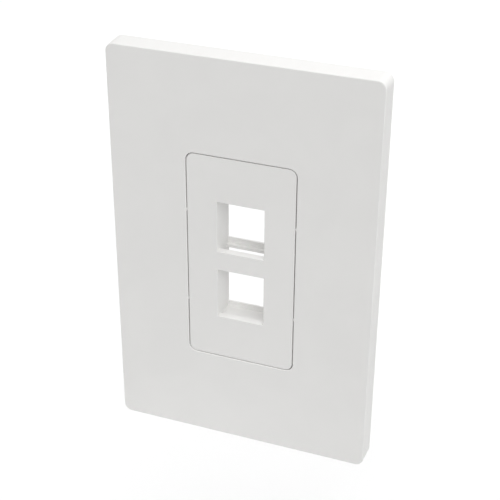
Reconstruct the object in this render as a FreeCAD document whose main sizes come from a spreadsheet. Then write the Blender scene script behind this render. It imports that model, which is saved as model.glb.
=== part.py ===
import FreeCAD, Part
import math
import os
import Sketcher

# Screwless keystone faceplate: a two-port decorator insert, the mounting frame screwed to its strap, and
# the hollow cover that snaps over the frame. Millimetres. X runs to the right, Z up, and the face looks
# along -Y. The wall plane is Y = 0 and the origin is midway between the two box screws. A "level" is a
# distance in front of the wall plane.

SIZES = {
    # cover plate, measured at its rim on the wall
    "cover_width": 80.4,
    "cover_height": 125.4,
    "cover_depth": 6.6,
    "cover_corner": 2.7,
    "side_draft": 2.0,
    "edge_round": 0.3,
    "face_thickness": 1.8,
    "rim_wall": 1.8,
    # decorator opening in the cover, with a collar behind the face and four centring nubs
    "opening_width": 33.4,
    "opening_height": 66.9,
    "opening_corner": 2.5,
    "lip_round": 0.2,
    "collar_wall": 1.2,
    "collar_reach": 1.5,
    "nub_radius": 0.6,
    "nub_height": 0.25,
    "nub_spacing": 30.0,
    "nub_setback": 0.1,
    # snap catches inside the cover's rim, and the notch where a blade pries the cover off
    "catch_length": 8.0,
    "catch_reach": 0.9,
    "catch_land": 0.4,
    "catch_tail": 0.3,
    "catch_level": 1.6,
    "catch_gap": 0.1,
    "catch_side_room": 1.0,
    "gate_overcut": 0.6,
    "side_catch_spacing": 70.0,
    "end_catch_spacing": 40.0,
    "notch_width": 12.0,
    "notch_depth": 1.2,
    # mounting frame under the cover
    "frame_gap": 0.4,
    "frame_face_gap": 0.3,
    "frame_corner": 1.5,
    "frame_skin": 1.5,
    "frame_skirt": 1.2,
    "collar_gap": 0.3,
    "frame_lip": 1.2,
    "frame_lip_reach": 1.2,
    "rib_width": 1.0,
    "rib_reach": 2.2,
    "rib_spacing": 20.0,
    # screws: the frame's own, and the clearance for the heads of the box screws
    "frame_screw_spacing": 96.8,
    "box_screw_spacing": 83.3,
    "box_hole": 4.2,
    "box_head_room": 7.8,
    "box_head_recess": 0.7,
    "boss_width": 7.2,
    "shank_width": 3.5,
    "head_width": 6.2,
    "head_angle": 82.0,
    "screw_length": 6.35,
    "point_bevel": 0.5,
    "drive_width": 1.0,
    "drive_depth": 0.7,
    "shank_gap": 0.2,
    "thread_gap": 0.05,
    "head_gap": 0.1,
    # port insert: panel just under flush, tray walls, strap and ears
    "insert_gap": 0.3,
    "insert_setback": 0.15,
    "panel_thickness": 2.25,
    "panel_round": 0.1,
    "insert_wall": 1.4,
    "strap_length": 106.7,
    "ear_width": 28.0,
    "ear_corner": 5.0,
    "ear_thickness": 1.5,
    # keystone ports
    "port_width": 14.4,
    "port_height": 16.1,
    "port_spacing": 22.18,
    "housing_depth": 9.1,
    "housing_wall": 1.5,
    "lug_slot": 1.2,
    "hook_rise": 0.5,
    "hook_lip": 0.6,
    "hook_depth": 2.0,
    "hook_base": 0.9,
    "latch_depth": 1.0,
    "tray_rib": 1.0,
    "tray_rib_setback": 0.6,
}

RIBS_EACH_SIDE = 5
SAME_PLACE = 1e-6

doc = FreeCAD.newDocument("keystone_faceplate")
dims = doc.addObject("Spreadsheet::Sheet", "dims")
for row, (alias, size) in enumerate(SIZES.items(), start=1):
    dims.set(f"A{row}", str(size))
    dims.setAlias(f"A{row}", alias)
doc.recompute()

# Sizes and levels worked out from the sheet, as expressions
FRONT = "dims.cover_depth"
COVER_BACK = "dims.cover_depth - dims.face_thickness"
COLLAR_BACK = f"{COVER_BACK} - dims.collar_reach"
COLLAR_WIDTH = "dims.opening_width + 2 * dims.collar_wall"
COLLAR_HEIGHT = "dims.opening_height + 2 * dims.collar_wall"
COLLAR_CORNER = "dims.opening_corner + dims.collar_wall"
RIM_INSIDE_X = "dims.cover_width / 2 - dims.rim_wall"
RIM_INSIDE_Z = "dims.cover_height / 2 - dims.rim_wall"
FRAME_WIDTH = "dims.cover_width - 2 * dims.rim_wall - 2 * dims.frame_gap"
FRAME_HEIGHT = "dims.cover_height - 2 * dims.rim_wall - 2 * dims.frame_gap"
FRAME_FRONT = f"{COVER_BACK} - dims.frame_face_gap"
FRAME_BACK = f"{FRAME_FRONT} - dims.frame_skin"
FRAME_OPENING_WIDTH = f"{COLLAR_WIDTH} + 2 * dims.collar_gap"
FRAME_OPENING_HEIGHT = f"{COLLAR_HEIGHT} + 2 * dims.collar_gap"
FRAME_OPENING_CORNER = f"{COLLAR_CORNER} + dims.collar_gap"
INSERT_WIDTH = "dims.opening_width - 2 * dims.insert_gap"
INSERT_HEIGHT = "dims.opening_height - 2 * dims.insert_gap"
INSERT_CORNER = "dims.opening_corner - dims.insert_gap"
TRAY_WIDTH = f"{INSERT_WIDTH} - 2 * dims.insert_wall"
TRAY_HEIGHT = f"{INSERT_HEIGHT} - 2 * dims.insert_wall"
TRAY_CORNER = f"{INSERT_CORNER} / 2"
PANEL_FRONT = f"{FRONT} - dims.insert_setback"
PANEL_BACK = f"{PANEL_FRONT} - dims.panel_thickness"
HOUSING_BACK = f"{PANEL_FRONT} - dims.housing_depth"
HOUSING_INSIDE_Z = "dims.port_spacing / 2 + dims.port_height / 2 + dims.lug_slot"
HOUSING_OUTSIDE_X = "dims.port_width / 2 + dims.housing_wall"
HOUSING_MIDWALL_X = "dims.port_width / 2 + dims.housing_wall / 2"
HOUSING_MIDWALL_Z = f"{HOUSING_INSIDE_Z} + dims.housing_wall / 2"


def value(expression):
    """The number that an expression over the sheet gives."""
    return float(dims.evalExpression(expression))


def origin_plane(body, role):
    return next(f for f in body.Origin.OriginFeatures if f.Role == role)


def new_body(name):
    body = doc.addObject("PartDesign::Body", name)
    body.Label = name
    return body


def new_sketch(body, name, offset, role="XZ_Plane"):
    """A sketch parallel to one of the body's own planes, moved along its normal by an expression."""
    sketch = body.newObject("Sketcher::SketchObject", name)
    sketch.AttachmentSupport = (origin_plane(body, role), [""])
    sketch.MapMode = "FlatFace"
    sketch.setExpression("AttachmentOffset.Base.z", offset)
    return sketch


def bind(sketch, kind, references, expression):
    """Adds a sizing constraint that follows an expression."""
    index = sketch.addConstraint(Sketcher.Constraint(kind, *references, value(expression)))
    sketch.setExpression(f"Constraints[{index}]", expression)


def place_point(sketch, geometry, point, across, up):
    """Fixes a point of the sketch at two coordinates, each an expression; "0" puts it on the axis."""
    for kind, expression, axis in (("DistanceX", across, -2), ("DistanceY", up, -1)):
        if expression == "0":
            sketch.addConstraint(Sketcher.Constraint("PointOnObject", geometry, point, axis))
        else:
            bind(sketch, kind, (-1, 1, geometry, point), expression)


def rounded_rectangle(sketch, width, height, radius):
    """A rectangle with round corners, centred on the sketch's origin."""
    half_width, half_height, corner = value(width) / 2, value(height) / 2, value(radius)
    first = sketch.GeometryCount
    for quarter in range(4):
        turn = FreeCAD.Rotation(FreeCAD.Vector(0, 0, 1), 90 * quarter)
        side, reach = (half_width, half_height) if quarter % 2 == 0 else (half_height, half_width)
        start = turn.multVec(FreeCAD.Vector(corner - side, -reach, 0))
        end = turn.multVec(FreeCAD.Vector(side - corner, -reach, 0))
        centre = turn.multVec(FreeCAD.Vector(side - corner, corner - reach, 0))
        sketch.addGeometry(Part.LineSegment(start, end))
        circle = Part.Circle(centre, FreeCAD.Vector(0, 0, 1), corner)
        begin = math.radians(90 * quarter - 90)
        sketch.addGeometry(Part.ArcOfCircle(circle, begin, begin + math.pi / 2))
    for quarter in range(4):
        line, arc = first + 2 * quarter, first + 2 * quarter + 1
        following = first + (2 * quarter + 2) % 8
        sketch.addConstraint(Sketcher.Constraint("Tangent", line, 2, arc, 1))
        sketch.addConstraint(Sketcher.Constraint("Tangent", arc, 2, following, 1))
        sketch.addConstraint(Sketcher.Constraint("Vertical" if quarter % 2 else "Horizontal", line))
    for arc in (first + 3, first + 5, first + 7):
        sketch.addConstraint(Sketcher.Constraint("Equal", first + 1, arc))
    bind(sketch, "Radius", (first + 1,), radius)
    sketch.addConstraint(Sketcher.Constraint("Symmetric", first, 1, first + 4, 1, -1, 1))
    bind(sketch, "DistanceX", (-1, 1, first + 2, 1), f"({width}) / 2")
    bind(sketch, "DistanceY", (-1, 1, first + 4, 1), f"({height}) / 2")


def polygon(sketch, points):
    """A closed outline of straight lines; each point is a pair of expressions."""
    first = sketch.GeometryCount
    places = [FreeCAD.Vector(value(across), value(up), 0) for across, up in points]
    count = len(points)
    for number in range(count):
        sketch.addGeometry(Part.LineSegment(places[number], places[(number + 1) % count]))
    for number, (across, up) in enumerate(points):
        line, following = first + number, first + (number + 1) % count
        sketch.addConstraint(Sketcher.Constraint("Coincident", line, 2, following, 1))
        place_point(sketch, line, 1, across, up)


def rectangle(sketch, left, right, bottom, top):
    """An upright rectangle between four coordinates, each an expression."""
    first = sketch.GeometryCount
    corners = [FreeCAD.Vector(value(x), value(z), 0)
               for x, z in ((left, bottom), (right, bottom), (right, top), (left, top))]
    for number in range(4):
        sketch.addGeometry(Part.LineSegment(corners[number], corners[(number + 1) % 4]))
    for number in range(4):
        line, following = first + number, first + (number + 1) % 4
        sketch.addConstraint(Sketcher.Constraint("Coincident", line, 2, following, 1))
        sketch.addConstraint(Sketcher.Constraint("Vertical" if number % 2 else "Horizontal", line))
    place_point(sketch, first, 1, left, bottom)
    place_point(sketch, first + 2, 1, right, top)


def circle(sketch, across, up, radius):
    centre = FreeCAD.Vector(value(across), value(up), 0)
    number = sketch.addGeometry(Part.Circle(centre, FreeCAD.Vector(0, 0, 1), value(radius)))
    place_point(sketch, number, 3, across, up)
    bind(sketch, "Radius", (number,), radius)


def pad(body, name, sketch, length, draft="0", backwards=False):
    """Adds material from the sketch towards the front, or towards the wall when backwards."""
    feature = body.newObject("PartDesign::Pad", name)
    feature.Profile = sketch
    feature.setExpression("Length", length)
    feature.Reversed = backwards
    if draft != "0":
        feature.setExpression("TaperAngle", draft)
    doc.recompute()
    return feature


def pocket(body, name, sketch, depth, draft="0", backwards=False):
    """Cuts from the sketch to the front, or to the wall when backwards; depth None cuts through all."""
    before = body.Shape.Volume
    feature = body.newObject("PartDesign::Pocket", name)
    feature.Profile = sketch
    feature.Reversed = not backwards
    if depth is None:
        feature.Type = "ThroughAll"
    else:
        feature.setExpression("Length", depth)
    if draft != "0":
        feature.setExpression("TaperAngle", draft)
    doc.recompute()
    if body.Shape.Volume >= before:
        raise RuntimeError(f"{name} cuts nothing")
    return feature


def round_edges(body, name, wanted, radius):
    """Fillets the edges of the body's last feature that the test picks."""
    base = body.Tip
    picked = [f"Edge{n}" for n, edge in enumerate(base.Shape.Edges, start=1) if wanted(edge)]
    feature = body.newObject("PartDesign::Fillet", name)
    feature.Base = (base, picked)
    feature.setExpression("Radius", radius)
    doc.recompute()
    return feature


def edges_in(level, half_width, half_height):
    """A test for edges that lie in the plane at a level, inside a rectangle about the origin."""
    y, x, z = -value(level), value(half_width), value(half_height)

    def wanted(edge):
        box = edge.BoundBox
        flat = abs(box.YMin - y) < SAME_PLACE and abs(box.YMax - y) < SAME_PLACE
        inside = box.XMin > -x and box.XMax < x and box.ZMin > -z and box.ZMax < z
        return flat and inside

    return wanted


# ---- cover plate: drafted shell, opening with collar and nubs, snap catches, pry notch
cover = new_body("cover_plate")

outline = new_sketch(cover, "cover_outline", "0")
rounded_rectangle(outline, "dims.cover_width", "dims.cover_height", "dims.cover_corner")
pad(cover, "cover_block", outline, FRONT, "-dims.side_draft")
round_edges(cover, "cover_front_edge",
            edges_in(FRONT, "dims.cover_width", "dims.cover_height"), "dims.edge_round")

hollow = new_sketch(cover, "cover_hollow_outline", "0")
rounded_rectangle(hollow, f"2 * ({RIM_INSIDE_X})", f"2 * ({RIM_INSIDE_Z})",
                  "max(dims.cover_corner - dims.rim_wall; dims.rim_wall / 2)")
pocket(cover, "cover_hollow", hollow, COVER_BACK, "-dims.side_draft")

collar = new_sketch(cover, "collar_outline", COLLAR_BACK)
rounded_rectangle(collar, COLLAR_WIDTH, COLLAR_HEIGHT, COLLAR_CORNER)
pad(cover, "collar", collar, "dims.collar_reach")

opening = new_sketch(cover, "opening_outline", "0")
rounded_rectangle(opening, "dims.opening_width", "dims.opening_height", "dims.opening_corner")
pocket(cover, "opening", opening, None)
round_edges(cover, "opening_lip", edges_in(FRONT, COLLAR_WIDTH, COLLAR_HEIGHT), "dims.lip_round")

nubs = new_sketch(cover, "nub_circles", COLLAR_BACK)
NUB_CENTRE = "dims.opening_width / 2 + dims.nub_radius - dims.nub_height"
for side in ("", "-"):
    for end in ("", "-"):
        circle(nubs, f"{side}({NUB_CENTRE})", f"{end}dims.nub_spacing / 2", "dims.nub_radius")
pad(cover, "nubs", nubs, "dims.collar_reach + dims.face_thickness - dims.nub_setback")


def catch_profile(sketch, wall, sign, upright):
    """One catch in section: a locking side that faces the front, a land, and a lead-in ramp."""
    root = f"{sign}({wall} + dims.rim_wall / 2)"
    tip = f"{sign}({wall} - dims.catch_reach)"
    levels = ("-dims.catch_level", "-dims.catch_level + dims.catch_land", "-dims.catch_tail")
    points = [(root, levels[0]), (tip, levels[0]), (tip, levels[1]), (root, levels[2])]
    polygon(sketch, [(y, x) for x, y in points] if upright else points)


for end in ("", "-"):
    middle = f"{end}dims.side_catch_spacing / 2 - dims.catch_length / 2"
    profile = new_sketch(cover, "side_catch_profile", middle, "XY_Plane")
    for sign in ("", "-"):
        catch_profile(profile, RIM_INSIDE_X, sign, upright=False)
    pad(cover, "side_catches", profile, "dims.catch_length")
    middle = f"{end}dims.end_catch_spacing / 2 - dims.catch_length / 2"
    profile = new_sketch(cover, "end_catch_profile", middle, "YZ_Plane")
    for sign in ("", "-"):
        catch_profile(profile, RIM_INSIDE_Z, sign, upright=True)
    pad(cover, "end_catches", profile, "dims.catch_length")

notch = new_sketch(cover, "pry_notch_outline", "0")
rectangle(notch, "-dims.notch_width / 2", "dims.notch_width / 2",
          "-dims.cover_height / 2 - dims.rim_wall", f"-({RIM_INSIDE_Z}) + dims.rim_wall / 2")
pocket(cover, "pry_notch", notch, "dims.notch_depth")

# ---- mounting frame: thin skin, skirt to the wall, ribs, screw bosses and gates for the cover's catches
frame = new_body("mounting_frame")

outline = new_sketch(frame, "frame_outline", "0")
rounded_rectangle(outline, FRAME_WIDTH, FRAME_HEIGHT, "dims.frame_corner")
pad(frame, "frame_block", outline, FRAME_FRONT)

hollow = new_sketch(frame, "frame_hollow_outline", "0")
rounded_rectangle(hollow, f"{FRAME_WIDTH} - 2 * dims.frame_skirt", f"{FRAME_HEIGHT} - 2 * dims.frame_skirt",
                  "dims.frame_corner / 2")
pocket(frame, "frame_hollow", hollow, FRAME_BACK)

lip = new_sketch(frame, "frame_lip_outline", f"{FRAME_BACK} - dims.frame_lip_reach")
rounded_rectangle(lip, f"{FRAME_OPENING_WIDTH} + 2 * dims.frame_lip",
                  f"{FRAME_OPENING_HEIGHT} + 2 * dims.frame_lip",
                  f"{FRAME_OPENING_CORNER} + dims.frame_lip")
pad(frame, "frame_lip", lip, "dims.frame_lip_reach")

ribs = new_sketch(frame, "frame_rib_outlines", f"{FRAME_BACK} - dims.rib_reach")
RIB_INNER = f"({FRAME_OPENING_WIDTH}) / 2 + dims.frame_lip / 2"
RIB_OUTER = f"({FRAME_WIDTH}) / 2 - dims.frame_skirt / 2"
for number in range(RIBS_EACH_SIDE):
    height = f"dims.rib_spacing * {number - (RIBS_EACH_SIDE - 1) / 2}"
    low, high = f"{height} - dims.rib_width / 2", f"{height} + dims.rib_width / 2"
    rectangle(ribs, RIB_INNER, RIB_OUTER, low, high)
    rectangle(ribs, f"-({RIB_OUTER})", f"-({RIB_INNER})", low, high)
pad(frame, "frame_ribs", ribs, "dims.rib_reach")

bosses = new_sketch(frame, "boss_circles", "dims.ear_thickness")
for end in ("", "-"):
    circle(bosses, "0", f"{end}dims.frame_screw_spacing / 2", "dims.boss_width / 2")
pad(frame, "screw_bosses", bosses, f"{FRAME_BACK} - dims.ear_thickness")

opening = new_sketch(frame, "frame_opening_outline", "0")
rounded_rectangle(opening, FRAME_OPENING_WIDTH, FRAME_OPENING_HEIGHT, FRAME_OPENING_CORNER)
pocket(frame, "frame_opening", opening, None)

heads = new_sketch(frame, "box_head_circles", "dims.ear_thickness")
for end in ("", "-"):
    circle(heads, "0", f"{end}dims.box_screw_spacing / 2", "dims.box_head_room / 2")
pocket(frame, "box_head_recesses", heads, f"{FRAME_BACK} - dims.ear_thickness + dims.box_head_recess")

gates = new_sketch(frame, "catch_gate_outlines", "0")
GATE_HALF = "dims.catch_length / 2 + dims.catch_side_room"
GATE_INNER = "dims.frame_skirt + dims.gate_overcut"
GATE_SIDE = (f"({FRAME_WIDTH}) / 2 - ({GATE_INNER})", f"({FRAME_WIDTH}) / 2 + dims.frame_skirt")
GATE_END = (f"({FRAME_HEIGHT}) / 2 - ({GATE_INNER})", f"({FRAME_HEIGHT}) / 2 + dims.frame_skirt")
for end in ("", "-"):
    middle = f"{end}dims.side_catch_spacing / 2"
    low, high = f"{middle} - ({GATE_HALF})", f"{middle} + {GATE_HALF}"
    rectangle(gates, GATE_SIDE[0], GATE_SIDE[1], low, high)
    rectangle(gates, f"-({GATE_SIDE[1]})", f"-({GATE_SIDE[0]})", low, high)
    middle = f"{end}dims.end_catch_spacing / 2"
    low, high = f"{middle} - ({GATE_HALF})", f"{middle} + {GATE_HALF}"
    rectangle(gates, low, high, GATE_END[0], GATE_END[1])
    rectangle(gates, low, high, f"-({GATE_END[1]})", f"-({GATE_END[0]})")
pocket(frame, "catch_gates", gates, "dims.catch_level + dims.catch_gap")

centres = new_sketch(frame, "frame_screw_centres", FRAME_FRONT)
for end in ("", "-"):
    circle(centres, "0", f"{end}dims.frame_screw_spacing / 2", "dims.shank_width / 2 + dims.shank_gap")
doc.recompute()
holes = frame.newObject("PartDesign::Hole", "frame_screw_holes")
holes.Profile = centres
holes.DepthType = "ThroughAll"
holes.HoleCutType = "Countersink"
holes.HoleCutCustomValues = True
holes.setExpression("Diameter", "dims.shank_width + 2 * dims.shank_gap")
holes.setExpression("HoleCutDiameter", "dims.head_width + 2 * dims.head_gap")
holes.setExpression("HoleCutCountersinkAngle", "dims.head_angle")
doc.recompute()

# ---- port insert: panel on a shallow tray, strap with two ears, and the keystone housing
insert = new_body("port_insert")

panel = new_sketch(insert, "panel_outline", PANEL_BACK)
rounded_rectangle(panel, INSERT_WIDTH, INSERT_HEIGHT, INSERT_CORNER)
pad(insert, "panel", panel, "dims.panel_thickness")

tray = new_sketch(insert, "tray_wall_outline", "0")
rounded_rectangle(tray, INSERT_WIDTH, INSERT_HEIGHT, INSERT_CORNER)
rounded_rectangle(tray, TRAY_WIDTH, TRAY_HEIGHT, TRAY_CORNER)
pad(insert, "tray_walls", tray, PANEL_BACK)

strap = new_sketch(insert, "strap_outline", "0")
rounded_rectangle(strap, "dims.ear_width", "dims.strap_length", "dims.ear_corner")
rectangle(strap, "-dims.ear_width / 2 + dims.insert_wall", "dims.ear_width / 2 - dims.insert_wall",
          f"-({TRAY_HEIGHT}) / 2", f"({TRAY_HEIGHT}) / 2")
pad(insert, "strap", strap, "dims.ear_thickness")

housing = new_sketch(insert, "housing_outline", HOUSING_BACK)
rectangle(housing, f"-({HOUSING_OUTSIDE_X})", HOUSING_OUTSIDE_X,
          f"-({HOUSING_INSIDE_Z} + dims.housing_wall)", f"{HOUSING_INSIDE_Z} + dims.housing_wall")
rectangle(housing, "-dims.port_width / 2", "dims.port_width / 2",
          f"-({HOUSING_INSIDE_Z})", HOUSING_INSIDE_Z)
pad(insert, "housing_walls", housing, "dims.housing_depth - dims.panel_thickness")

# Each port has an L-shaped hook at its foot for the jack's fixed lug and a bar at its head for its latch
hooks = new_sketch(insert, "hook_profiles", f"-({HOUSING_MIDWALL_X})", "YZ_Plane")
latches = new_sketch(insert, "latch_outlines", HOUSING_BACK)
for end in ("", "-"):
    sill = f"{end}dims.port_spacing / 2 - dims.port_height / 2"
    head = f"{end}dims.port_spacing / 2 + dims.port_height / 2"
    back = f"-({HOUSING_BACK})"
    tip, toe = f"{back} - dims.hook_lip", f"{back} - dims.hook_depth"
    shelf = f"{sill} - dims.lug_slot"
    polygon(hooks, [
        (back, f"{shelf} - dims.hook_base"),
        (back, f"{sill} + dims.hook_rise"),
        (tip, f"{sill} + dims.hook_rise"),
        (tip, shelf),
        (toe, shelf),
        (toe, f"{shelf} - dims.hook_base"),
    ])
    rectangle(latches, f"-({HOUSING_MIDWALL_X})", HOUSING_MIDWALL_X, head, f"{head} + dims.lug_slot")
pad(insert, "hooks", hooks, f"2 * ({HOUSING_MIDWALL_X})")
pad(insert, "latch_bars", latches, "dims.latch_depth")

ribs = new_sketch(insert, "tray_rib_outlines", "dims.tray_rib_setback")
RIB_HALF = "dims.tray_rib / 2"
RIB_REACH_X = f"({TRAY_WIDTH}) / 2 + dims.insert_wall / 2"
RIB_REACH_Z = f"({TRAY_HEIGHT}) / 2 + dims.insert_wall / 2"
for end in ("", "-"):
    middle = f"{end}dims.port_spacing / 2"
    low, high = f"{middle} - {RIB_HALF}", f"{middle} + {RIB_HALF}"
    rectangle(ribs, HOUSING_MIDWALL_X, RIB_REACH_X, low, high)
    rectangle(ribs, f"-({RIB_REACH_X})", f"-({HOUSING_MIDWALL_X})", low, high)
    middle = f"{end}dims.port_width / 4"
    low, high = f"{middle} - {RIB_HALF}", f"{middle} + {RIB_HALF}"
    rectangle(ribs, low, high, HOUSING_MIDWALL_Z, RIB_REACH_Z)
    rectangle(ribs, low, high, f"-({RIB_REACH_Z})", f"-({HOUSING_MIDWALL_Z})")
pad(insert, "tray_ribs", ribs, f"{PANEL_BACK} - dims.tray_rib_setback")

ports = new_sketch(insert, "port_outlines", PANEL_FRONT)
for end in ("", "-"):
    middle = f"{end}dims.port_spacing / 2"
    rectangle(ports, "-dims.port_width / 2", "dims.port_width / 2",
              f"{middle} - dims.port_height / 2", f"{middle} + dims.port_height / 2")
pocket(insert, "ports", ports, "dims.panel_thickness", backwards=True)
round_edges(insert, "panel_edges", edges_in(PANEL_FRONT, INSERT_WIDTH, INSERT_HEIGHT), "dims.panel_round")

screws = new_sketch(insert, "ear_hole_circles", "0")
for end in ("", "-"):
    circle(screws, "0", f"{end}dims.box_screw_spacing / 2", "dims.box_hole / 2")
    circle(screws, "0", f"{end}dims.frame_screw_spacing / 2", "dims.shank_width / 2 + dims.thread_gap")
pocket(insert, "ear_holes", screws, "dims.ear_thickness")


# ---- frame screws: 82 degree flat heads, straight slot, plain shank at the thread's crest diameter
def frame_screw(name, end):
    """A screw on the Y axis with its head flush in the frame, carried up or down to its hole."""
    body = new_body(name)
    profile = new_sketch(body, f"{name}_profile", "0", "YZ_Plane")
    top = f"-({FRAME_FRONT})"
    neck = f"{top} + (dims.head_width - dims.shank_width) / 2 / tan(dims.head_angle / 2 * 1 deg)"
    point = f"{top} + dims.screw_length"
    polygon(profile, [
        (top, "0"),
        (point, "0"),
        (point, "dims.shank_width / 2 - dims.point_bevel"),
        (f"{point} - dims.point_bevel", "dims.shank_width / 2"),
        (neck, "dims.shank_width / 2"),
        (top, "dims.head_width / 2"),
    ])
    turned = body.newObject("PartDesign::Revolution", f"{name}_turned")
    turned.Profile = profile
    turned.ReferenceAxis = (profile, ["H_Axis"])
    turned.Angle = 360
    doc.recompute()
    drive = new_sketch(body, f"{name}_drive_outline", FRAME_FRONT)
    rectangle(drive, "-dims.head_width", "dims.head_width", "-dims.drive_width / 2", "dims.drive_width / 2")
    pocket(body, f"{name}_drive", drive, "dims.drive_depth", backwards=True)
    body.setExpression("Placement.Base.z", f"{end}dims.frame_screw_spacing / 2")
    return body


upper_screw = frame_screw("frame_screw_upper", "")
lower_screw = frame_screw("frame_screw_lower", "-")
doc.recompute()

# ---- check every object and write one STEP file per piece
for item in doc.Objects:
    if "Invalid" in item.State or "Error" in item.State:
        raise RuntimeError(f"{item.Name} failed: {item.State}")
bodies = [cover, frame, insert, upper_screw, lower_screw]
for body in bodies:
    if body.Shape.isNull() or not body.Shape.isValid() or len(body.Shape.Solids) != 1:
        raise RuntimeError(f"{body.Label} isn't one sound solid")

os.makedirs("parts", exist_ok=True)
for body in bodies:
    body.Shape.exportStep(f"parts/{body.Label}.step")
    box = body.Shape.BoundBox
    size = f"{box.XLength:.2f} x {box.YLength:.2f} x {box.ZLength:.2f}"
    print(f"{body.Label}: {body.Shape.Volume:.1f} mm3, {size}")
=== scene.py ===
import math

import bmesh
import bpy
from mathutils import Matrix, Vector


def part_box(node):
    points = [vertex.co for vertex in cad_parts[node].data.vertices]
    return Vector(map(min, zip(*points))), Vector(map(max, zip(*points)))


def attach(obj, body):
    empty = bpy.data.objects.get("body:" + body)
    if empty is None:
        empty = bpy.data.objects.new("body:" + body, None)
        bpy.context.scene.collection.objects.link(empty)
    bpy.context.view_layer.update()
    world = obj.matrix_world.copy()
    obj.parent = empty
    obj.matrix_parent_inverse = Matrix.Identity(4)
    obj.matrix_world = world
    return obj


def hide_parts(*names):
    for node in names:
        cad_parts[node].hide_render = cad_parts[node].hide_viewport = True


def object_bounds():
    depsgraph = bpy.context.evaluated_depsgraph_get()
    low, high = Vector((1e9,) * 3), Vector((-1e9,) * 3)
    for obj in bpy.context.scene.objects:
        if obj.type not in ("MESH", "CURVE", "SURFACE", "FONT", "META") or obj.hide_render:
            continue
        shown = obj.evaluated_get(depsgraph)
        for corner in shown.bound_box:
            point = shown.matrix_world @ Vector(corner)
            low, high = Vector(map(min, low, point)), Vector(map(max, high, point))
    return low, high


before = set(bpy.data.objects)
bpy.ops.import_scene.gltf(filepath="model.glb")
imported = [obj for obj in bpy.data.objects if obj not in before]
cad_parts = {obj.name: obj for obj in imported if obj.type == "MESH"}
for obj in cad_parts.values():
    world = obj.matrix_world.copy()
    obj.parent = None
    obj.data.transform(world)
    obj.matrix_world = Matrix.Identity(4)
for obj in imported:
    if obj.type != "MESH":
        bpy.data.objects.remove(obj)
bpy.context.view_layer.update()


# ---------------------------------------------------------------- cover plate
# The screwless cover is one shell of white ABS, moulded in a tool with a fine satin texture.
# It snaps over the mounting frame; the CAD solid keeps its shape and takes this finish.
def add_node(tree, kind, inputs=None, **settings):
    """Adds a node to a tree; each input is a plain value or another node's output."""
    node = tree.nodes.new(kind)
    for name, setting in settings.items():
        setattr(node, name, setting)
    for socket, given in (inputs or {}).items():
        if isinstance(given, bpy.types.NodeSocket):
            tree.links.new(given, node.inputs[socket])
        else:
            node.inputs[socket].default_value = given
    return node


def add_socket(tree, name, kind, default=None, way="INPUT"):
    """Adds one named input or output to a node group."""
    socket = tree.interface.new_socket(name, in_out=way, socket_type=f"NodeSocket{kind}")
    if default is not None:
        socket.default_value = default
    return socket


def moulded_finish_group():
    """Satin moulded plastic: faint flow mottling in the colour, fine texture in the gloss and the surface."""
    tree = bpy.data.node_groups.new("moulded_finish", "ShaderNodeTree")
    add_socket(tree, "Colour", "Color", (0.8, 0.8, 0.8, 1.0))
    add_socket(tree, "Mottle", "Float", 0.02)
    add_socket(tree, "Mottle Size", "Float", 60.0)
    add_socket(tree, "Texture Size", "Float", 6000.0)
    add_socket(tree, "Roughness", "Float", 0.4)
    add_socket(tree, "Roughness Spread", "Float", 0.08)
    add_socket(tree, "Colour", "Color", way="OUTPUT")
    add_socket(tree, "Roughness", "Float", way="OUTPUT")
    add_socket(tree, "Height", "Float", way="OUTPUT")
    given = add_node(tree, "NodeGroupInput").outputs
    place = add_node(tree, "ShaderNodeTexCoord").outputs["Object"]
    flow = add_node(tree, "ShaderNodeTexNoise", {"Vector": place, "Scale": given["Mottle Size"],
                                                 "Detail": 3.0, "Distortion": 0.6}).outputs["Fac"]
    darkest = add_node(tree, "ShaderNodeMath", {0: 1.0, 1: given["Mottle"]}, operation="SUBTRACT")
    shade = add_node(tree, "ShaderNodeMapRange", {"Value": flow, "From Min": 0.3, "From Max": 0.7,
                                                  "To Min": darkest.outputs["Value"], "To Max": 1.0})
    tint = add_node(tree, "ShaderNodeVectorMath", {0: given["Colour"], "Scale": shade.outputs["Result"]},
                    operation="SCALE")
    gloss = add_node(tree, "ShaderNodeMath", {0: flow, 1: given["Roughness Spread"], 2: given["Roughness"]},
                     operation="MULTIPLY_ADD")
    grain = add_node(tree, "ShaderNodeTexNoise", {"Vector": place, "Scale": given["Texture Size"],
                                                  "Detail": 2.0})
    add_node(tree, "NodeGroupOutput", {"Colour": tint.outputs["Vector"], "Roughness": gloss.outputs["Value"],
                                       "Height": grain.outputs["Fac"]})
    return tree


moulded_finish = moulded_finish_group()


def moulded_plastic(name, colour, mottle, roughness, texture):
    """White satin plastic for one piece, with its own tint, gloss and depth of texture."""
    material = bpy.data.materials.new(name)
    material.use_nodes = True
    tree = material.node_tree
    finish = add_node(tree, "ShaderNodeGroup", node_tree=moulded_finish)
    finish.inputs["Colour"].default_value = (*colour, 1.0)
    finish.inputs["Mottle"].default_value = mottle
    finish.inputs["Roughness"].default_value = roughness
    relief = add_node(tree, "ShaderNodeBump", {"Height": finish.outputs["Height"], "Strength": texture,
                                               "Distance": 0.00002})
    shader = tree.nodes["Principled BSDF"]
    shader.inputs["IOR"].default_value = 1.49
    tree.links.new(finish.outputs["Colour"], shader.inputs["Base Color"])
    tree.links.new(finish.outputs["Roughness"], shader.inputs["Roughness"])
    tree.links.new(relief.outputs["Normal"], shader.inputs["Normal"])
    return material


def dress(node, material):
    """Gives every slot of a CAD node's object the same material."""
    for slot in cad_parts[node].material_slots:
        slot.material = material


cover_white = moulded_plastic("cover_white_satin", (0.843, 0.838, 0.824), 0.025, 0.42, 0.3)
dress("cover_plate", cover_white)

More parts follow.
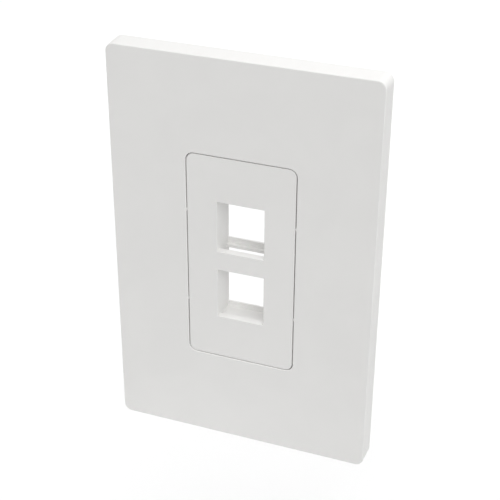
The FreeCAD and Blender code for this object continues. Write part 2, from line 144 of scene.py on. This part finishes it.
# ---------------------------------------------------------------- port insert
# The decorator insert with the two keystone ports is one white moulding from the same resin as the cover.
# Its panel lies just under flush in the cover's opening, and its ears are screwed to the wall box.
insert_white = moulded_plastic("insert_white_satin", (0.843, 0.838, 0.824), 0.025, 0.40, 0.3)
dress("port_insert", insert_white)

# ------------------------------------------------------------- mounting frame
# The frame is an unpolished moulding in a slightly greyer white, because the cover hides it.
frame_white = moulded_plastic("frame_natural_white", (0.78, 0.778, 0.76), 0.04, 0.5, 0.5)
dress("mounting_frame", frame_white)


# --------------------------------------------------------------- frame screws
# Two 6-32 machine screws of zinc-plated steel, with slotted 82 degree flat heads and rolled threads, hold
# the frame to the insert's ears. They are made at the CAD screws' places and lie inside their outlines.
HEAD_WIDTH, HEAD_ANGLE = 0.0062, 82
CREST_WIDTH, ROOT_WIDTH, THREAD_PITCH = 0.0035, 0.0025, 0.000794
SLOT_WIDTH, SLOT_DEPTH = 0.0010, 0.0007
RIDGE_FOOT, RIDGE_CREST = 0.9, 0.15  # widths of the thread's ridge, as shares of the pitch
RIDGE_SINK = 1.3  # the ridge's height with its foot sunk in the core, as a share of the thread's depth
RUN_OUT = 0.12  # share of the helix over which the ridge grows at one end and dies away at the other
THINNEST = 0.05  # size of the ridge at its very ends
CRISP_EDGE = 30  # bends sharper than this, in degrees, are left unsmoothed


def slotted_screw_tree():
    """A slotted flat-head screw at each point of the mesh: head cone, core, tapering helical thread, slot."""
    tree = bpy.data.node_groups.new("slotted_screw", "GeometryNodeTree")
    tree.is_modifier = True
    add_socket(tree, "Places", "Geometry")
    for name in ("Head Width", "Head Depth", "Root Width", "Thread Depth", "Thread Pitch", "Thread Top",
                 "Length", "Slot Width", "Slot Depth"):
        add_socket(tree, name, "Float")
    add_socket(tree, "Sides", "Int", 48)
    add_socket(tree, "Finish", "Material")
    add_socket(tree, "Screws", "Geometry", way="OUTPUT")
    given = add_node(tree, "NodeGroupInput").outputs

    def figure(operation, *terms):
        """One step of arithmetic."""
        return add_node(tree, "ShaderNodeMath", dict(enumerate(terms)), operation=operation).outputs["Value"]

    def at_height(shape, height):
        """The shape, moved along the screw's axis."""
        offset = add_node(tree, "ShaderNodeCombineXYZ", {"Z": height}).outputs["Vector"]
        moved = add_node(tree, "GeometryNodeTransform", {"Geometry": shape, "Translation": offset})
        return moved.outputs["Geometry"]

    head_radius = figure("DIVIDE", given["Head Width"], 2.0)
    root_radius = figure("DIVIDE", given["Root Width"], 2.0)
    head = add_node(tree, "GeometryNodeMeshCone",
                    {"Vertices": given["Sides"], "Radius Top": head_radius, "Radius Bottom": root_radius,
                     "Depth": given["Head Depth"]})
    head = at_height(head.outputs["Mesh"], figure("MULTIPLY", given["Head Depth"], -1.0))
    tip = figure("MULTIPLY", given["Length"], -1.0)
    core_length = figure("SUBTRACT", given["Length"], figure("DIVIDE", given["Head Depth"], 2.0))
    core = add_node(tree, "GeometryNodeMeshCone",
                    {"Vertices": given["Sides"], "Radius Top": root_radius, "Radius Bottom": root_radius,
                     "Depth": core_length})
    core = at_height(core.outputs["Mesh"], tip)

    # the thread: a helix whose ridge grows out of the core at the head and dies away at the point
    helix_height = figure("SUBTRACT", figure("SUBTRACT", given["Length"], given["Thread Top"]),
                          figure("DIVIDE", given["Thread Pitch"], 4.0))
    turns = figure("DIVIDE", helix_height, given["Thread Pitch"])
    helix = add_node(tree, "GeometryNodeCurveSpiral",
                     {"Resolution": given["Sides"], "Rotations": turns, "Height": helix_height,
                      "Start Radius": 1.0, "End Radius": 1.0, "Reverse": True})
    along = add_node(tree, "GeometryNodeSplineParameter").outputs["Factor"]
    from_middle = figure("ABSOLUTE", figure("SUBTRACT", along, 0.5))
    growth = add_node(tree, "ShaderNodeMapRange",
                      {"Value": from_middle, "From Min": 0.5 - RUN_OUT, "From Max": 0.5, "To Min": 1.0,
                       "To Max": THINNEST}).outputs["Result"]
    rooted = figure("MULTIPLY", given["Thread Depth"], RIDGE_SINK)
    foot_radius = figure("SUBTRACT", root_radius, figure("SUBTRACT", rooted, given["Thread Depth"]))
    line_radius = figure("MULTIPLY_ADD", growth, figure("DIVIDE", rooted, 2.0), foot_radius)
    spread = add_node(tree, "ShaderNodeCombineXYZ", {"X": line_radius, "Y": line_radius, "Z": 1.0})
    where = add_node(tree, "GeometryNodeInputPosition").outputs["Position"]
    wound = add_node(tree, "ShaderNodeVectorMath", {0: where, 1: spread.outputs["Vector"]},
                     operation="MULTIPLY").outputs["Vector"]
    helix = add_node(tree, "GeometryNodeSetPosition", {"Geometry": helix.outputs["Curve"], "Position": wound})
    helix = add_node(tree, "GeometryNodeSetCurveNormal", {"Curve": helix.outputs["Geometry"]}, mode="Z_UP")
    ridge = add_node(tree, "GeometryNodeCurvePrimitiveQuadrilateral",
                     {"Height": rooted, "Bottom Width": figure("MULTIPLY", given["Thread Pitch"], RIDGE_FOOT),
                      "Top Width": figure("MULTIPLY", given["Thread Pitch"], RIDGE_CREST), "Offset": 0.0},
                     mode="TRAPEZOID")
    ridge = add_node(tree, "GeometryNodeTransform",
                     {"Geometry": ridge.outputs["Curve"], "Rotation": (0.0, 0.0, math.radians(90))})
    thread = add_node(tree, "GeometryNodeCurveToMesh",
                      {"Curve": helix.outputs["Curve"], "Profile Curve": ridge.outputs["Geometry"],
                       "Scale": growth, "Fill Caps": True})
    thread_start = figure("ADD", tip, figure("DIVIDE", given["Thread Pitch"], 4.0))
    thread = at_height(thread.outputs["Mesh"], thread_start)

    whole = add_node(tree, "GeometryNodeMeshBoolean", operation="UNION", solver="EXACT")
    for part in (thread, core, head):
        tree.links.new(part, whole.inputs["Mesh 2"])
    slot_size = add_node(tree, "ShaderNodeCombineXYZ",
                         {"X": figure("MULTIPLY", given["Head Width"], 1.2), "Y": given["Slot Width"],
                          "Z": figure("MULTIPLY", given["Slot Depth"], 2.0)})
    slot = add_node(tree, "GeometryNodeMeshCube", {"Size": slot_size.outputs["Vector"]})
    cut = add_node(tree, "GeometryNodeMeshBoolean",
                   {"Mesh 1": whole.outputs["Mesh"], "Mesh 2": slot.outputs["Mesh"]},
                   operation="DIFFERENCE", solver="EXACT")

    smooth = add_node(tree, "GeometryNodeSetShadeSmooth", {"Geometry": cut.outputs["Mesh"]}, domain="FACE")
    bend = add_node(tree, "GeometryNodeInputMeshEdgeAngle").outputs["Unsigned Angle"]
    crisp = add_node(tree, "FunctionNodeCompare", {"A": bend, "B": math.radians(CRISP_EDGE)},
                     operation="GREATER_THAN")
    smooth = add_node(tree, "GeometryNodeSetShadeSmooth",
                      {"Geometry": smooth.outputs["Geometry"], "Selection": crisp.outputs["Result"],
                       "Shade Smooth": False}, domain="EDGE")
    seated = add_node(tree, "GeometryNodeInstanceOnPoints",
                      {"Points": given["Places"], "Instance": smooth.outputs["Geometry"],
                       "Rotation": (math.radians(90), 0.0, 0.0)})
    real = add_node(tree, "GeometryNodeRealizeInstances", {"Geometry": seated.outputs["Instances"]})
    plated = add_node(tree, "GeometryNodeSetMaterial",
                      {"Geometry": real.outputs["Geometry"], "Material": given["Finish"]})
    add_node(tree, "NodeGroupOutput", {"Screws": plated.outputs["Geometry"]})
    return tree


zinc_plate = bpy.data.materials.new("zinc_plate")
zinc_plate.use_nodes = True
tree = zinc_plate.node_tree
place = add_node(tree, "ShaderNodeTexCoord").outputs["Object"]
noise = add_node(tree, "ShaderNodeTexNoise", {"Vector": place, "Scale": 900.0, "Detail": 4.0})
dulling = noise.outputs["Fac"]
gloss = add_node(tree, "ShaderNodeMapRange", {"Value": dulling, "To Min": 0.28, "To Max": 0.46})
tint = add_node(tree, "ShaderNodeMix",
                {"Factor": dulling, "A": (0.60, 0.61, 0.61, 1.0), "B": (0.68, 0.67, 0.64, 1.0)},
                data_type="RGBA")
shader = tree.nodes["Principled BSDF"]
shader.inputs["Metallic"].default_value = 1.0
tree.links.new(gloss.outputs["Result"], shader.inputs["Roughness"])
tree.links.new(tint.outputs["Result"], shader.inputs["Base Color"])

outlines = [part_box(node) for node in ("frame_screw_upper", "frame_screw_lower")]
head_tops = [((near[0] + far[0]) / 2, near[1], (near[2] + far[2]) / 2) for near, far in outlines]
screw_places = bpy.data.meshes.new("frame_screws")
screw_places.from_pydata(head_tops, [], [])
screws = bpy.data.objects.new("frame_screws", screw_places)
bpy.context.collection.objects.link(screws)
screw_length = outlines[0][1][1] - outlines[0][0][1]
head_depth = (HEAD_WIDTH - ROOT_WIDTH) / 2 / math.tan(math.radians(HEAD_ANGLE / 2))
screw_sizes = {
    "Head Width": HEAD_WIDTH, "Head Depth": head_depth, "Root Width": ROOT_WIDTH,
    "Thread Depth": (CREST_WIDTH - ROOT_WIDTH) / 2, "Thread Pitch": THREAD_PITCH,
    "Thread Top": head_depth - THREAD_PITCH / 2, "Length": screw_length,
    "Slot Width": SLOT_WIDTH, "Slot Depth": SLOT_DEPTH, "Finish": zinc_plate,
}
screw_maker = screws.modifiers.new("slotted_screw", "NODES")
screw_maker.node_group = slotted_screw_tree()
for socket in screw_maker.node_group.interface.items_tree:
    if socket.in_out == "INPUT" and socket.name in screw_sizes:
        screw_maker[socket.identifier] = screw_sizes[socket.name]
evaluated = screws.evaluated_get(bpy.context.evaluated_depsgraph_get())
made = bpy.data.meshes.new_from_object(evaluated)
screws.modifiers.remove(screw_maker)
screws.data = made
made.materials.clear()
made.materials.append(zinc_plate)
made.polygons.foreach_set("material_index", [0] * len(made.polygons))
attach(screws, "root")
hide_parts("frame_screw_upper", "frame_screw_lower")

# ------------------------------------------------------- floor, light, camera
# A pale floor well below the plate, a white surround, six broad soft lamps (one overhead, the main one high
# in front, two at the right, one high at the left and one behind) and a small glow close below the front.
FLOOR_DROP, FLOOR_REACH = 0.12, 4.0
floor_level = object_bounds()[0][2] - FLOOR_DROP
sheet = bmesh.new()
for x, y in ((-1, -1), (1, -1), (1, 1), (-1, 1)):
    sheet.verts.new((x * FLOOR_REACH, y * FLOOR_REACH, floor_level))
sheet.faces.new(sheet.verts)
floor_mesh = bpy.data.meshes.new("floor")
sheet.to_mesh(floor_mesh)
sheet.free()
floor = bpy.data.objects.new("floor", floor_mesh)
bpy.context.collection.objects.link(floor)


def backdrop_mask(tree):
    """1 where a ray sees the backdrop, also in a mirror or through glass, and 0 where it takes its light."""
    path = add_node(tree, "ShaderNodeLightPath").outputs
    mirrored = add_node(tree, "ShaderNodeMath", {0: path["Is Camera Ray"], 1: path["Is Glossy Ray"]},
                        operation="MAXIMUM")
    seen = add_node(tree, "ShaderNodeMath", {0: mirrored.outputs["Value"], 1: path["Is Transmission Ray"]},
                    operation="MAXIMUM")
    return seen.outputs["Value"]


FLOOR_BOUNCE = 0.38
floor_paint = bpy.data.materials.new("floor_paint")
floor_paint.use_nodes = True
tree = floor_paint.node_tree
floor_shade = add_node(tree, "ShaderNodeMix",
                       {"Factor": backdrop_mask(tree), "A": (FLOOR_BOUNCE, FLOOR_BOUNCE, FLOOR_BOUNCE, 1.0),
                        "B": (1.0, 1.0, 1.0, 1.0)}, data_type="RGBA")
shader = tree.nodes["Principled BSDF"]
shader.inputs["Roughness"].default_value = 0.9
tree.links.new(floor_shade.outputs["Result"], shader.inputs["Base Color"])
floor_mesh.materials.append(floor_paint)

SURROUND_LIGHT = 0.32
world = bpy.data.worlds.new("surround")
bpy.context.scene.world = world
world.use_nodes = True
tree = world.node_tree
tree.nodes.clear()
strength = add_node(tree, "ShaderNodeMapRange",
                    {"Value": backdrop_mask(tree), "To Min": SURROUND_LIGHT, "To Max": 1.0})
glow = add_node(tree, "ShaderNodeBackground",
                {"Color": (1.0, 1.0, 1.0, 1.0), "Strength": strength.outputs["Result"]})
add_node(tree, "ShaderNodeOutputWorld", {"Surface": glow.outputs["Background"]})

# name, bearing round the plate from straight in front towards its right, height above level, strength
LAMP_SPREAD = math.radians(50)
for name, bearing, height, strength in (("overhead_lamp", 0, 88, 0.78),
                                        ("main_lamp", 20, 45, 1.255),
                                        ("right_front_lamp", 60, 10, 0.80),
                                        ("right_lamp", 100, 10, 0.36),
                                        ("left_lamp", -60, 45, 0.25),
                                        ("back_lamp", 180, 10, 1.00)):
    sun = bpy.data.lights.new(name, "SUN")
    sun.energy, sun.angle = strength, LAMP_SPREAD
    holder = bpy.data.objects.new(name, sun)
    holder.rotation_euler = (math.radians(90 - height), 0.0, math.radians(bearing))
    bpy.context.collection.objects.link(holder)

# the glow that a white table top gives back to the lower part of the face
TABLE_GLOW_AIM = Vector((0.0, 0.0, -0.05))
table_glow = bpy.data.lights.new("table_glow", "AREA")
table_glow.shape, table_glow.size, table_glow.energy = "DISK", 0.05, 0.0065
holder = bpy.data.objects.new("table_glow", table_glow)
holder.location = (-0.03, -0.07, -0.13)
holder.rotation_euler = (TABLE_GLOW_AIM - holder.location).to_track_quat("-Z", "Y").to_euler()
holder.visible_camera = False
bpy.context.collection.objects.link(holder)

# the camera looks at the target from the right and above, with a long lens and a slight roll
AZIMUTH, ELEVATION, ROLL = (math.radians(angle) for angle in (20.524, 29.676, 0.354))
DISTANCE = 0.3580
TARGET = Vector((0.00052, 0.0, 0.00173))
back = Vector((math.sin(AZIMUTH) * math.cos(ELEVATION), -math.cos(AZIMUTH) * math.cos(ELEVATION),
               math.sin(ELEVATION)))
right = (-back).cross(Vector((0, 0, 1))).normalized()
up = right.cross(-back)
right, up = right * math.cos(ROLL) + up * math.sin(ROLL), up * math.cos(ROLL) - right * math.sin(ROLL)
eye = bpy.data.cameras.new("camera")
eye.lens, eye.sensor_width = 87.94, 36.0
eye.clip_start, eye.clip_end = 0.01, 20.0
camera = bpy.data.objects.new("camera", eye)
facing = Matrix((right, up, back)).transposed().to_4x4()
camera.matrix_world = Matrix.Translation(TARGET + back * DISTANCE) @ facing
bpy.context.collection.objects.link(camera)
bpy.context.scene.camera = camera
bpy.context.scene.view_settings.view_transform = "Standard"
